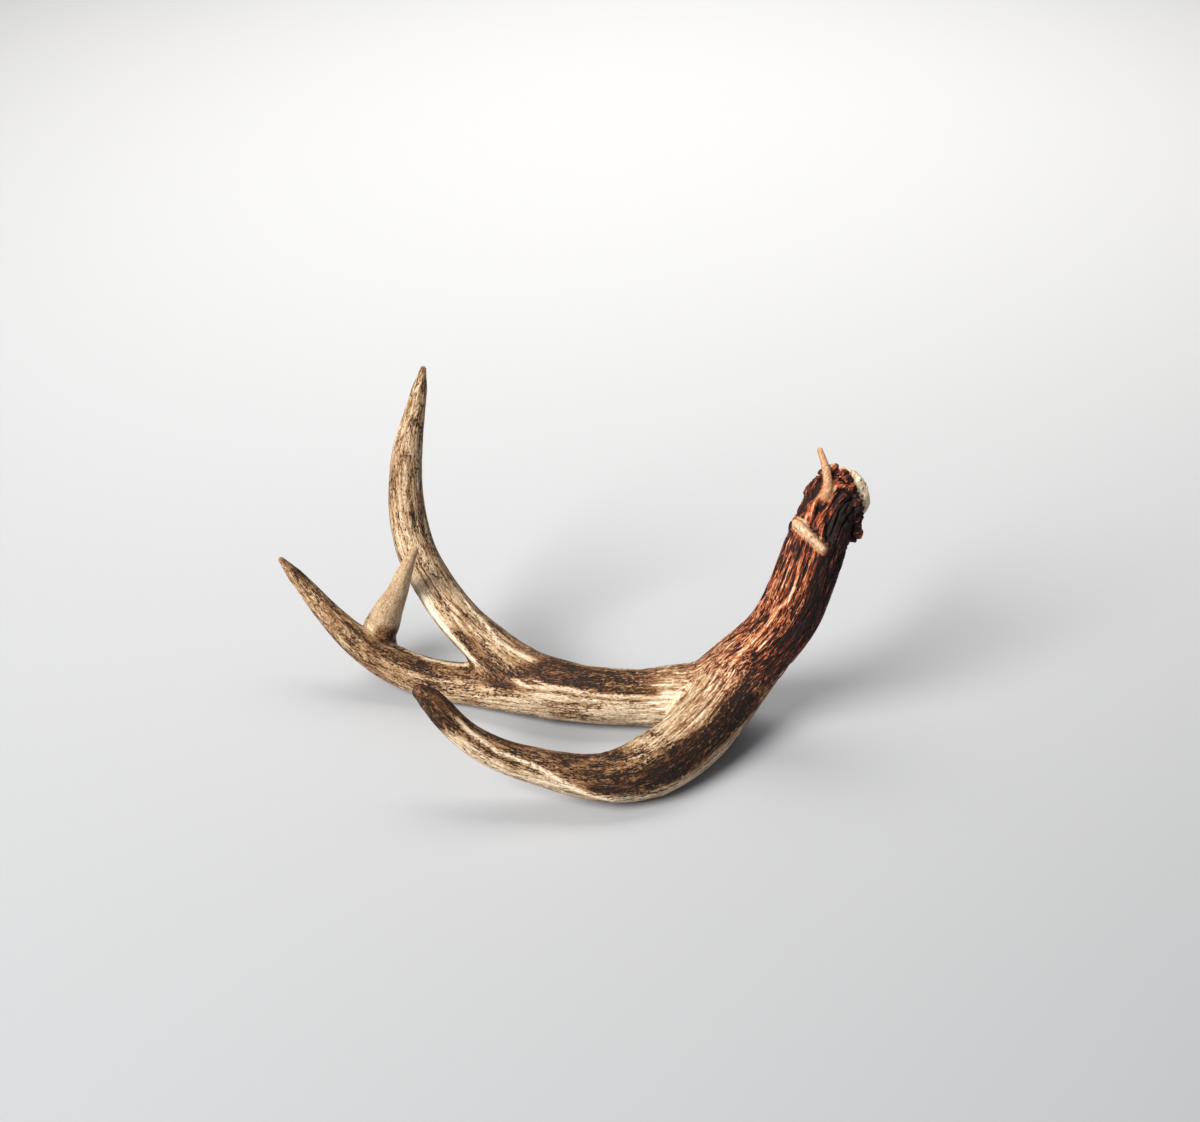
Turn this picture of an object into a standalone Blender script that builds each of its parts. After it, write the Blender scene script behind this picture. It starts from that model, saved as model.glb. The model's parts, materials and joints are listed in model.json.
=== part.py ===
"""
A shed deer antler lying at rest.

The antler is modelled as one solid: every branch is a loft of oval rings carried along a
smooth curve, all branches are fused, and the result is sawn at its main forks into the
base, the front tine, the middle of the beam, the tall tine, the end of the beam and the
short tine.  Fine pearling and grooves are left to the finish.

Frame: metres, +Z up.  The origin is the middle of the underside of the bounding box, +X is
the longest extent and points to the burr, and -Y is the side that the front tine points to.
"""
from math import cos, pi, sin

import bmesh
import bpy
import numpy as np
from mathutils import Matrix, Vector

# ---------------------------------------------------------------- driving dimensions, in mm
MM = 0.001

# The antler's broad side looks forward and up.  Every oval ring is thinnest in this direction.
BROAD_SIDE = (0.0, -0.85, 0.53)

# Stations of each branch: x, y, z, half width, thickness as a share of the width.
BEAM = [
    (158.5, 25, 145, 17.6, 1.00),  # burr
    (156.5, 22.5, 144.5, 17.0, 1.00),
    (153.5, 17.5, 142.5, 15.6, 1.00),
    (149.5, 10, 137.5, 15.3, 1.00),
    (143, -1, 125, 17.0, 1.00),    # brow tine stub
    (133, -7, 93, 18.0, 0.95),
    (120, -3, 65, 18.4, 0.92),
    (102, 5, 38, 20.0, 0.88),
    (85, 4, 21, 21.4, 0.76),       # flat web of the first fork
    (67, 4.5, 20, 20.2, 0.78),
    (46, 4, 20, 17.4, 0.85),
    (11, 5, 22, 17.7, 0.90),
    (-9, 9, 22, 18.4, 0.90),       # second fork
    (-34, 16, 19, 16.0, 0.90),
    (-61, 25, 15, 13.4, 1.00),
    (-82, 31, 14, 13.1, 1.00),
    (-106, 37, 20, 12.5, 1.00),    # root of the short tine
    (-125, 41, 31, 10.9, 1.00),
    (-149, 48, 54, 7.8, 1.00),
    (-168, 55, 77, 4.9, 1.00),
    (-176, 57, 87, 2.4, 1.00),     # tip
]
FRONT_TINE = [
    (118, -3, 60, 14.0, 0.90),     # inside the beam, which it leaves tangentially
    (103, -9, 36, 17.5, 0.90),
    (80, -33, 23, 19.5, 0.90),
    (51, -60, 19, 19.1, 0.90),
    (20, -72, 20, 14.0, 1.00),
    (-11, -72, 27, 11.0, 1.00),
    (-30, -71, 33, 10.1, 1.00),
    (-52, -68, 45, 8.8, 1.00),
    (-68, -64, 61, 8.1, 1.00),
    (-75, -62, 69, 7.2, 1.00),
    (-79, -62, 73, 5.2, 1.00),
]
TALL_TINE = [
    (-3, 12, 24, 12.3, 0.90),
    (-28, 19, 30, 16.0, 0.90),
    (-46, 28, 40, 14.8, 1.00),
    (-62, 36, 52, 13.6, 1.00),
    (-78, 47, 69, 12.9, 1.00),
    (-91, 58, 90, 12.7, 1.00),
    (-97, 69, 118, 11.6, 1.00),
    (-95, 76, 152, 9.6, 1.00),
    (-90, 79, 174, 7.0, 1.00),
    (-86, 81, 191, 4.9, 1.00),
    (-83, 82, 205, 2.4, 1.00),
]
SHORT_TINE = [
    (-104, 37, 19, 9.0, 1.00),     # inside the beam
    (-116, 52, 23, 9.2, 1.00),
    (-120, 60, 35, 9.6, 1.00),
    (-113, 50, 52, 9.0, 1.00),
    (-102, 34.5, 76, 7.4, 1.00),
    (-93, 24, 103, 4.6, 1.00),
    (-88, 21, 115, 2.2, 1.00),
]
STICKER = [                        # the little point on the burr's rim
    (144, 7, 149, 3.4, 1.00),
    (149, 11, 155, 3.6, 1.00),
    (151, 17, 162, 3.4, 1.00),
    (150, 22.5, 169, 2.9, 1.00),
    (147.5, 30, 176.5, 1.7, 1.00),
]
BROW_STUB = [                      # a worn blade, thinnest across its own crest
    (143, 6, 131, 12.7, 0.30),
    (140, -4, 138, 12.2, 0.30),
    (137, -12, 144, 10.6, 0.33),
]
BROW_THIN_WAY = (0.64, 0.41, 0.65)

BURR_CENTRE = (158.5, 25, 145.5)
BURR_AXIS = (0.788, 0.614, -0.046)  # from the beam out through the burr
BURR_KNOBS = 13
KNOB_RING_RADIUS = 18.4
KNOB_RADIUS = 3.4
KNOB_VARIATION = 0.25              # the knobs grow and shrink by this share,
KNOB_WAVES = 5.0                   # this many times around the ring
DOME_RADIUS = 16.2                 # the pedicle dome, across
DOME_HEIGHT = 11.0                 # and along the burr's axis
DOME_SET_OUT = 7.5                 # its middle, out along the axis
DOME_RAISED = 2.0                  # and up from it

RING_SIDES = 24
DOME_SIDES, DOME_ROWS = 32, 18
KNOB_SIDES, KNOB_ROWS = 12, 8
SAW_SIDES = 32
RING_SPACING = 2.5
VOXEL = 1.8                        # size at which the branches are fused
SMOOTHING_PASSES = 4
SMOOTHING_FACTOR = 0.5
TRIANGLES = 7000                   # of the whole antler before it is sawn
SAW_CUT = 0.3
SHARP_ANGLE = pi / 4

# Each saw cut at a fork: a point on it, the direction it looks in, and its radius.
SAW_CUTS = [
    ((43, 4, 20), (-1.0, 0.0, 0.05), 26),        # beam, past the first fork
    ((59, -53, 20), (-0.74, -0.66, -0.08), 27),   # root of the front tine
    ((-72, 28, 14), (-0.95, 0.28, -0.02), 19),    # beam, past the second fork
    ((-60, 35, 51), (-0.62, 0.37, 0.69), 22),     # root of the tall tine
    ((-114.5, 51.5, 49), (0.38, -0.22, 0.90), 15),    # root of the short tine
]

# Each piece: a point near its middle, its colour and its roughness.
PIECES = {
    "beam_base": ((120, -3, 65), (0.17, 0.062, 0.028), 0.62),
    "front_tine": ((-11, -72, 27), (0.36, 0.23, 0.12), 0.50),
    "mid_beam": ((1, 6, 22), (0.45, 0.32, 0.19), 0.55),
    "tall_tine": ((-97, 69, 118), (0.50, 0.37, 0.23), 0.45),
    "beam_end": ((-125, 41, 31), (0.38, 0.25, 0.14), 0.50),
    "short_tine": ((-102, 32, 77), (0.66, 0.55, 0.38), 0.38),
}


# ------------------------------------------------------------------------------- helpers
def clear_scene():
    for obj in list(bpy.data.objects):
        bpy.data.objects.remove(obj, do_unlink=True)


def new_collection(name):
    collection = bpy.data.collections.new(name)
    bpy.context.scene.collection.children.link(collection)
    return collection


def mesh_from(bm, name):
    mesh = bpy.data.meshes.new(name)
    bm.to_mesh(mesh)
    bm.free()
    return mesh


def natural_spline(knots, values, at):
    """Values of the natural cubic spline through (knots, values) at the parameters `at`."""
    gap = np.diff(knots)
    count = len(knots)
    system = np.eye(count)
    right = np.zeros_like(values)
    for i in range(1, count - 1):
        system[i, i - 1:i + 2] = gap[i - 1], 2 * (gap[i - 1] + gap[i]), gap[i]
        rise = (values[i + 1] - values[i]) / gap[i] - (values[i] - values[i - 1]) / gap[i - 1]
        right[i] = 6 * rise
    bend = np.linalg.solve(system, right)
    i = np.clip(np.searchsorted(knots, at, side="right") - 1, 0, count - 2)
    h = gap[i][:, None]
    a = (knots[i + 1] - at)[:, None]
    b = (at - knots[i])[:, None]
    curved = (bend[i] * a ** 3 + bend[i + 1] * b ** 3) / (6 * h)
    straight = (values[i] / h - bend[i] * h / 6) * a + (values[i + 1] / h - bend[i + 1] * h / 6) * b
    return curved + straight


def follow(stations):
    """Centres, directions, half widths and thickness shares at an even spacing along a branch."""
    table = np.array(stations, dtype=float)
    steps = np.linalg.norm(np.diff(table[:, :3], axis=0), axis=1)
    knots = np.concatenate([[0.0], np.cumsum(steps)])
    at = np.linspace(0.0, knots[-1], int(knots[-1] / RING_SPACING) + 1)
    centres = natural_spline(knots, table[:, :3], at)
    directions = np.gradient(centres, axis=0)
    directions /= np.linalg.norm(directions, axis=1)[:, None]
    half_widths = np.interp(at, knots, table[:, 3])
    shares = np.interp(at, knots, table[:, 4])
    return centres, directions, half_widths, shares


def add_loft(bm, stations, thin_way=BROAD_SIDE):
    """Adds a closed loft of oval rings along the stations, with a fan at either end."""
    centres, directions, half_widths, shares = follow(stations)
    thin_way = np.array(thin_way)
    thin = thin_way - (directions @ thin_way)[:, None] * directions
    thin /= np.linalg.norm(thin, axis=1)[:, None]
    wide = np.cross(directions, thin)
    rings = []
    for centre, w, t, half, share in zip(centres, wide, thin, half_widths, shares):
        ring = []
        for k in range(RING_SIDES):
            angle = 2 * pi * k / RING_SIDES
            ring.append(bm.verts.new(centre + half * cos(angle) * w + half * share * sin(angle) * t))
        rings.append(ring)
    for ring, after in zip(rings, rings[1:]):
        for k in range(RING_SIDES):
            n = (k + 1) % RING_SIDES
            bm.faces.new((ring[k], ring[n], after[n], after[k]))
    for ring, centre, turn in ((rings[0], centres[0], -1), (rings[-1], centres[-1], 1)):
        middle = bm.verts.new(centre)
        for k in range(RING_SIDES):
            a, b = ring[k], ring[(k + 1) % RING_SIDES]
            bm.faces.new((a, b, middle) if turn > 0 else (b, a, middle))


def burr_frame():
    """Turns +Z into the burr's axis and moves the origin to the burr's centre."""
    turn = Vector(BURR_AXIS).to_track_quat("Z", "Y").to_matrix().to_4x4()
    return Matrix.Translation(BURR_CENTRE) @ turn


def add_burr(bm):
    """The pedicle dome and the ring of knobs around it."""
    frame = burr_frame()
    squash = Matrix.Diagonal((1, 1, DOME_HEIGHT / DOME_RADIUS, 1))
    dome = frame @ Matrix.Translation((0, DOME_RAISED, DOME_SET_OUT)) @ squash
    bmesh.ops.create_uvsphere(bm, u_segments=DOME_SIDES, v_segments=DOME_ROWS,
                              radius=DOME_RADIUS, matrix=dome)
    for k in range(BURR_KNOBS):
        angle = 2 * pi * k / BURR_KNOBS
        size = KNOB_RADIUS * (1.0 + KNOB_VARIATION * sin(KNOB_WAVES * angle))
        place = Matrix.Translation((KNOB_RING_RADIUS * cos(angle), KNOB_RING_RADIUS * sin(angle), 0))
        bmesh.ops.create_uvsphere(bm, u_segments=KNOB_SIDES, v_segments=KNOB_ROWS,
                                  radius=size, matrix=frame @ place)


def evaluated_mesh(obj):
    depsgraph = bpy.context.evaluated_depsgraph_get()
    return bpy.data.meshes.new_from_object(obj.evaluated_get(depsgraph))


def underside_middle(mesh):
    """The middle of the underside of the mesh's bounding box."""
    points = np.array([vertex.co for vertex in mesh.vertices])
    low, high = points.min(axis=0), points.max(axis=0)
    return Vector(((low[0] + high[0]) / 2, (low[1] + high[1]) / 2, low[2]))


def fused_antler(workshop):
    """All branches in one closed, smooth solid of about TRIANGLES triangles, in metres."""
    bm = bmesh.new()
    for stations in (BEAM, FRONT_TINE, TALL_TINE, SHORT_TINE, STICKER):
        add_loft(bm, stations)
    add_loft(bm, BROW_STUB, BROW_THIN_WAY)
    add_burr(bm)
    bmesh.ops.recalc_face_normals(bm, faces=bm.faces)
    blank = bpy.data.objects.new("blank", mesh_from(bm, "blank"))
    workshop.objects.link(blank)
    fuse = blank.modifiers.new("fuse", "REMESH")
    fuse.mode = "VOXEL"
    fuse.voxel_size = VOXEL
    smooth = blank.modifiers.new("smooth", "SMOOTH")
    smooth.factor = SMOOTHING_FACTOR
    smooth.iterations = SMOOTHING_PASSES
    faces = evaluated_mesh(blank)
    thin = blank.modifiers.new("thin out", "DECIMATE")
    thin.decimate_type = "COLLAPSE"
    thin.ratio = TRIANGLES / (2 * len(faces.polygons))
    thin.use_collapse_triangulate = True
    mesh = evaluated_mesh(blank)
    mesh.transform(Matrix.Scale(MM, 4) @ Matrix.Translation(-underside_middle(mesh)))
    bpy.data.objects.remove(blank)
    return mesh


def saw(workshop, k, point, looks, radius):
    """A thin disc that cuts one branch through."""
    turn = Vector(looks).to_track_quat("Z", "Y").to_matrix().to_4x4()
    place = Matrix.Translation(Vector(point) * MM) @ turn
    bm = bmesh.new()
    bmesh.ops.create_cone(bm, cap_ends=True, segments=SAW_SIDES, radius1=radius * MM, radius2=radius * MM,
                          depth=SAW_CUT * MM, matrix=place)
    cutter = bpy.data.objects.new(f"saw_{k}", mesh_from(bm, f"saw_{k}"))
    cutter.hide_render = True
    cutter.display_type = "WIRE"
    workshop.objects.link(cutter)
    return cutter


def islands(bm):
    """The separate closed bodies of a mesh, as lists of faces."""
    waiting = set(bm.faces)
    while waiting:
        found = {waiting.pop()}
        edge_of_growth = list(found)
        while edge_of_growth:
            face = edge_of_growth.pop()
            for edge in face.edges:
                for other in edge.link_faces:
                    if other in waiting:
                        waiting.remove(other)
                        found.add(other)
                        edge_of_growth.append(other)
        yield found


def principled(name, colour, roughness):
    material = bpy.data.materials.new(name)
    material.use_nodes = True
    shader = material.node_tree.nodes["Principled BSDF"]
    shader.inputs["Base Color"].default_value = (*colour, 1.0)
    shader.inputs["Roughness"].default_value = roughness
    shader.inputs["Metallic"].default_value = 0.0
    return material


def sawn_pieces(mesh, workshop, antler):
    """Cuts the antler at its forks and gives each piece its name and material."""
    whole = bpy.data.objects.new("whole", mesh)
    workshop.objects.link(whole)
    for k, (point, looks, radius) in enumerate(SAW_CUTS):
        cut = whole.modifiers.new(f"cut {k}", "BOOLEAN")
        cut.operation = "DIFFERENCE"
        cut.solver = "EXACT"
        cut.object = saw(workshop, k, point, looks, radius)
    parted = evaluated_mesh(whole)
    bpy.data.objects.remove(whole)
    bm = bmesh.new()
    bm.from_mesh(parted)
    bmesh.ops.triangulate(bm, faces=bm.faces)
    bm.faces.index_update()
    bodies = list(islands(bm))
    for name, (middle, colour, roughness) in PIECES.items():
        target = Vector(middle) * MM
        body = min(bodies, key=lambda faces: min((f.calc_center_median() - target).length for f in faces))
        bodies.remove(body)
        piece = bm.copy()
        keep = {face.index for face in body}
        piece.faces.index_update()
        bmesh.ops.delete(piece, geom=[f for f in piece.faces if f.index not in keep], context="FACES")
        obj = bpy.data.objects.new(name, mesh_from(piece, name))
        obj.data.materials.append(principled(name + "_bone", colour, roughness))
        obj.data.shade_smooth()
        obj.data.set_sharp_from_angle(angle=SHARP_ANGLE)
        antler.objects.link(obj)
    bm.free()


def main():
    clear_scene()
    antler = new_collection("deer_antler")
    workshop = new_collection("cutters")
    sawn_pieces(fused_antler(workshop), workshop, antler)


main()
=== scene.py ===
# %% [markdown]
# # A shed deer antler
# An antler is bone that grew in one season and was cast off whole.  It has a knobbed burr where
# it sat on the skull, a thick furrowed beam, and tines that get smoother towards their tips.
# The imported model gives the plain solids.  This lesson grows the real surface around nearly the
# same centre lines: a fused blank first, then furrows, pearls and the burr, then the stains.
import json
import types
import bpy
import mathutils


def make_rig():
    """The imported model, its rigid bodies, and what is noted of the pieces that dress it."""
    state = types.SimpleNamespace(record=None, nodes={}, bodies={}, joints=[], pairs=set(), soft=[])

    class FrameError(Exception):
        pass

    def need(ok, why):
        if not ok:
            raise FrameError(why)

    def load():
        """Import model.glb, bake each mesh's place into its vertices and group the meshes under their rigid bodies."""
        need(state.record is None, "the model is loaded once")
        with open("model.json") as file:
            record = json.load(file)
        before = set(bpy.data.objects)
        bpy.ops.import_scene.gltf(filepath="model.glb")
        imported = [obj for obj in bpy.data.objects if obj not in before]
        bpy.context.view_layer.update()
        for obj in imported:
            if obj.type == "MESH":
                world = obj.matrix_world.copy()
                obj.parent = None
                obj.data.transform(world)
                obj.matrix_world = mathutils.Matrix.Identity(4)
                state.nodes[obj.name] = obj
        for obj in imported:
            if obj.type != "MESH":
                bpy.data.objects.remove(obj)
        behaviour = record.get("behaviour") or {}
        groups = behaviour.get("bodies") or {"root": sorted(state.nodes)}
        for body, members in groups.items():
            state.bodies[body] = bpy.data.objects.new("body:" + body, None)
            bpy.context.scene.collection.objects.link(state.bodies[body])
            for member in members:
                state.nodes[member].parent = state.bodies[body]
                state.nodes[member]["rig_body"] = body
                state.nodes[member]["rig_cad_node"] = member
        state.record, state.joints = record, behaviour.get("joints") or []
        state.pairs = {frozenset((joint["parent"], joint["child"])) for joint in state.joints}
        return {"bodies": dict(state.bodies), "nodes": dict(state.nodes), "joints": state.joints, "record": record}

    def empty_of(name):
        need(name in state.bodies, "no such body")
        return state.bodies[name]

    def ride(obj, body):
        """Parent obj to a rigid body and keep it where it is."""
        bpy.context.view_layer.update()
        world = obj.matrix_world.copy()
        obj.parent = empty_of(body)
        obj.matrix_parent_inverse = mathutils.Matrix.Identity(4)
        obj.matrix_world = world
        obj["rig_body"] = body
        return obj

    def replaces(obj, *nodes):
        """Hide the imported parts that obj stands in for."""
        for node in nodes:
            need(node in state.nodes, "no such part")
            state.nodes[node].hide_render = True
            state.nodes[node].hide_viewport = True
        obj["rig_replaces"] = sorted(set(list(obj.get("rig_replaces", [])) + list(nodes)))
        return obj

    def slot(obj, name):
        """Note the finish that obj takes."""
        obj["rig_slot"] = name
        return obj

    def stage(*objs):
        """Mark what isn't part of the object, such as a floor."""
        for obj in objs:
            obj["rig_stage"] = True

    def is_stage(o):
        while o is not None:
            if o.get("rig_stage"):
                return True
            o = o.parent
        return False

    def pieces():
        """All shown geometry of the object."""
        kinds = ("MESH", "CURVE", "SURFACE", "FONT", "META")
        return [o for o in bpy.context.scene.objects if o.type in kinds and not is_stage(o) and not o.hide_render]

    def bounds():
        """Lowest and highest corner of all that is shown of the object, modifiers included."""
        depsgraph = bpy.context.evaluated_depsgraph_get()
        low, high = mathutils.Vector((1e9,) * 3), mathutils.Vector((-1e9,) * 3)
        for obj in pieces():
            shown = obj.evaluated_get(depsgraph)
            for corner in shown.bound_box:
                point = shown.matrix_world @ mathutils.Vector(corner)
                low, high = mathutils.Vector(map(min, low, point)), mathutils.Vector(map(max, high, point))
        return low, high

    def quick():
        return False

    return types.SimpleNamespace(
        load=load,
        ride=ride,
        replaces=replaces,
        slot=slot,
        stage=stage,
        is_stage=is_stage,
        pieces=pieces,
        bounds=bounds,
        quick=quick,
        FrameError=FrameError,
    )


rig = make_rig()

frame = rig.load()
cad_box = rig.bounds()
print("nodes:", sorted(frame["nodes"]))

# %% Libraries and units
import json
import math

import bpy
import numpy as np

MM = 0.001

# %% [markdown]
# ## The centre lines
# Each branch is a row of stations: where its middle is, its half width, and how thick it is as
# a share of that width.  They follow the solids closely, in millimetres, so the finished surface
# lies where the solids are; only the web that fills the first fork is extra.  A spline through
# few points bends like grown bone; a polyline would look like pipe.

# %% Stations of the branches
BROAD_SIDE = np.array([0.0, -0.85, 0.53])     # the way in which most branches are thinnest
STATIONS = {
    "beam": [
        (158.5, 25, 145, 17.6, 1.00), (156.5, 22.5, 144.5, 17.0, 1.00), (153.5, 17.5, 142.5, 15.4, 1.00),
        (149.5, 10, 137.5, 15.0, 1.00), (143, -1, 125, 17.0, 1.00), (133, -7, 93, 18.0, 0.95),
        (120, -3, 65, 18.4, 0.92), (102, 5, 38, 20.0, 0.88), (85, 4, 22.5, 21.4, 0.80),
        (67, 4.5, 20, 20.2, 0.78), (46, 4, 20, 17.4, 0.85), (11, 5, 22, 17.7, 0.90),
        (-9, 9, 22, 18.4, 0.90), (-34, 16, 19, 16.0, 0.90), (-61, 25, 15, 13.4, 1.00),
        (-82, 31, 14, 13.1, 1.00), (-106, 37, 20, 12.5, 1.00), (-125, 41, 31, 10.9, 1.00),
        (-149, 48, 54, 7.8, 1.00), (-168, 55, 77, 4.9, 1.00), (-175, 56.8, 85.9, 2.4, 1.00),
    ],
    "front_tine": [
        (118, -3, 60, 14.0, 0.90), (103, -9, 36, 17.5, 0.90), (80, -33, 23, 19.5, 0.90),
        (51, -60, 19, 19.1, 0.90), (20, -72, 20, 14.0, 1.00), (-11, -72, 27, 11.0, 1.00),
        (-30, -71, 33, 10.1, 1.00), (-52, -68, 45, 8.8, 1.00), (-68, -64, 61, 8.1, 1.00),
        (-75, -62, 69, 7.2, 1.00), (-79, -62, 73, 5.2, 1.00),
    ],
    "tall_tine": [
        (-3, 12, 24, 12.3, 0.90), (-28, 19, 30, 16.0, 0.90), (-46, 28, 40, 14.8, 1.00),
        (-62, 36, 52, 13.6, 1.00), (-78, 47, 69, 12.9, 1.00), (-91, 58, 90, 12.7, 1.00),
        (-97, 69, 118, 11.6, 1.00), (-95, 76, 152, 9.6, 1.00), (-90, 79, 174, 7.0, 1.00),
        (-86, 81, 191, 4.9, 1.00), (-83.2, 81.9, 203.2, 2.4, 1.00),
    ],
    "short_tine": [
        (-106, 38, 20, 9.5, 1.00), (-115, 50, 19, 10.6, 1.00), (-119, 57, 27, 11.6, 1.00),
        (-115.5, 54, 40, 11.4, 1.00), (-109, 45, 58, 9.2, 1.00), (-102, 34.5, 76, 7.2, 1.00),
        (-93, 24, 103, 4.7, 1.00), (-88, 21, 115, 3.1, 1.00),
    ],
    "sticker": [
        (139, 3.5, 145, 2.8, 1.00), (144, 6.5, 150.5, 3.2, 1.00), (149, 11, 156, 3.5, 1.00),
        (151.5, 17, 162.5, 3.4, 1.00), (150.5, 22.5, 169, 3.0, 1.00), (147.5, 30, 176.5, 2.0, 1.00),
    ],
    "web": [            # fills the crotch of the first fork
        (98, -6, 37, 13.0, 0.95), (84, -13, 25, 15.0, 0.90), (73, -18.5, 20.5, 12.5, 0.90),
        (64, -22.5, 19.5, 6.5, 0.90),
    ],
}
THIN_WAY = {"web": np.array([0.0, 0.0, 1.0])}     # the web lies flat instead
STEP = 1.5            # distance between the rings of a branch

# %% The smooth path of a branch
def natural_spline(knots, values, at):
    """The natural cubic spline through (knots, values): the curve of least bending."""
    gap = np.diff(knots)
    count = len(knots)
    slope = np.diff(values, axis=0) / gap[:, None]
    system = np.eye(count)
    middle = np.arange(1, count - 1)
    system[middle, middle - 1] = gap[:-1]
    system[middle, middle] = 2 * (gap[:-1] + gap[1:])
    system[middle, middle + 1] = gap[1:]
    right = np.zeros_like(values)
    right[1:-1] = 6 * np.diff(slope, axis=0)
    bend = np.linalg.solve(system, right)
    i = np.clip(np.searchsorted(knots, at, side="right") - 1, 0, count - 2)
    h, a, b = gap[i][:, None], (knots[i + 1] - at)[:, None], (at - knots[i])[:, None]
    curved = (bend[i] * a ** 3 + bend[i + 1] * b ** 3) / (6 * h)
    return curved + (values[i] / h - bend[i] * h / 6) * a + (values[i + 1] / h - bend[i + 1] * h / 6) * b


def unit(v):
    """The vectors divided by their own lengths."""
    return v / np.maximum(np.linalg.norm(v, axis=-1, keepdims=True), 1e-12)


def follow(name):
    """Rings along a branch: distance, middle, direction, wide and thin way, half width, share."""
    table = np.array(STATIONS[name], dtype=float)
    knots = np.concatenate([[0.0], np.cumsum(np.linalg.norm(np.diff(table[:, :3], axis=0), axis=1))])
    at = np.linspace(0.0, knots[-1], int(knots[-1] / STEP) + 1)
    middle = natural_spline(knots, table[:, :3], at)
    along = unit(np.gradient(middle, axis=0))
    way = THIN_WAY.get(name, BROAD_SIDE)
    thin = unit(way - (along @ way)[:, None] * along)
    return {"at": at, "middle": middle, "along": along, "thin": thin, "wide": np.cross(along, thin),
            "half": np.interp(at, knots, table[:, 3]), "share": np.interp(at, knots, table[:, 4])}


BRANCH = {name: follow(name) for name in STATIONS}
for name, line in BRANCH.items():
    print(f"{name}: {line['at'][-1]:.0f} mm, {len(line['at'])} rings")

# %% [markdown]
# ## The blank
# The blank is all branches fused in one skin.  Each branch is an oval profile carried along its
# path, the pedicle dome is an ellipsoid half sunk in the beam's end, and the burr is a ring of
# knobs.  They overlap, so a voxel remesh fuses them; it also gives an even net of small quads,
# which is what the fine relief needs later.

# %% Profiles carried along the paths
PROFILE_SIDES = 40


def carried_profile(line):
    """Ring k is middle + half*cos(angle)*wide + half*share*sin(angle)*thin, capped by two points."""
    angle = np.linspace(0, 2 * np.pi, PROFILE_SIDES, endpoint=False)
    across = line["half"][:, None] * np.cos(angle)
    through = (line["half"] * line["share"])[:, None] * np.sin(angle)
    ring = (line["middle"][:, None] + across[..., None] * line["wide"][:, None]
            + through[..., None] * line["thin"][:, None])
    return closed_grid(ring, line["middle"][0], line["middle"][-1])


def closed_grid(ring, first_pole, last_pole):
    """Points and quads of a tube of rings whose ends are closed by fans of triangles."""
    rows, sides = ring.shape[:2]
    points = np.concatenate([ring.reshape(-1, 3), [first_pole, last_pole]])
    index = np.arange(rows * sides).reshape(rows, sides)
    turned = np.roll(index, -1, axis=1)
    walls = np.stack([index[:-1], turned[:-1], turned[1:], index[1:]], axis=-1).reshape(-1, 4)
    first, last = rows * sides, rows * sides + 1
    cap0 = np.stack([turned[0], index[0], np.full(sides, first)], axis=-1)
    cap1 = np.stack([index[-1], turned[-1], np.full(sides, last)], axis=-1)
    return points, walls, np.concatenate([cap0, cap1])


# %% [markdown]
# ## The burr and the brow stub
# The burr, or coronet, is the collar of bony knobs where the antler sat on the skull.  Each knob
# is a ball on a ring round the burr's axis, with its size and place drawn at random; the ring is
# narrower on two opposite sides.  The brow tine is worn down to a low wall, made from
# rows of balls that run from its rounded crest into the beam.

# %% The burr's frame and dome
BURR_MIDDLE = np.array([158.5, 25.0, 145.5])
BURR_AXIS = unit(np.array([0.788, 0.614, -0.046]))
BURR_UP = unit(np.array([0.0, 0.0, 1.0]) - BURR_AXIS[2] * BURR_AXIS)
BURR_SIDE = np.cross(BURR_AXIS, BURR_UP)
DOME_RAISED = 3.0      # the dome sits a little above the burr's middle
DOME_RADIUS, DOME_HEIGHT, DOME_SET_OUT = 15.6, 10.8, 7.9
print("burr axis:", BURR_AXIS.round(3))

# %% Knobs and lumps
KNOB_COUNT = 30
KNOB_JITTER = 0.07                     # radians
KNOB_RING = 19.8                       # from the burr's axis to a knob
NEAR_DIP, FAR_DIP = 3.0, 3.8           # how much narrower the ring is on its near and far side


def side_bump(angle, middle, spread):
    """1 at the middle angle and falling like a bell on both sides: exp(-(turn / spread)^2)."""
    return np.exp(-(((angle - middle + np.pi) % (2 * np.pi) - np.pi) / spread) ** 2)


knob_rng = np.random.default_rng(11)
knob_angle = np.linspace(0, 2 * np.pi, KNOB_COUNT, endpoint=False)
knob_angle = knob_angle + knob_rng.uniform(-KNOB_JITTER, KNOB_JITTER, KNOB_COUNT)
knob_size = knob_rng.uniform(1.6, 3.2, KNOB_COUNT)
near_side, far_side = side_bump(knob_angle, 0.5, 0.9), side_bump(knob_angle, np.pi, 0.8)
knob_out = KNOB_RING - NEAR_DIP * near_side - FAR_DIP * far_side + knob_rng.uniform(-1.4, 1.4, KNOB_COUNT)
knob_along = knob_rng.uniform(-2.6, 0.6, KNOB_COUNT)
ROOTED = 17.4 + 0.6 * knob_size        # farther out than this a knob would float beside the beam
knob_out = np.minimum(knob_out, ROOTED)
KNOBS = (BURR_MIDDLE + knob_along[:, None] * BURR_AXIS
         + (knob_out * np.cos(knob_angle))[:, None] * BURR_SIDE
         + (knob_out * np.sin(knob_angle))[:, None] * BURR_UP)
LUMPS = np.array([                     # to the side, up, along the axis, radius
    (15.0, -9.0, -1.0, 3.8), (17.8, -10.8, -1.5, 3.2), (18.8, -13.4, -2.0, 2.4), (15.6, -12.8, -2.8, 3.0)])
LUMP_MIDDLES = BURR_MIDDLE + LUMPS[:, :3] @ np.stack([BURR_SIDE, BURR_UP, BURR_AXIS])
KNOBS = np.concatenate([KNOBS, LUMP_MIDDLES])
knob_size = np.concatenate([knob_size, LUMPS[:, 3]])
print("knobs and lumps:", len(KNOBS))

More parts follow.
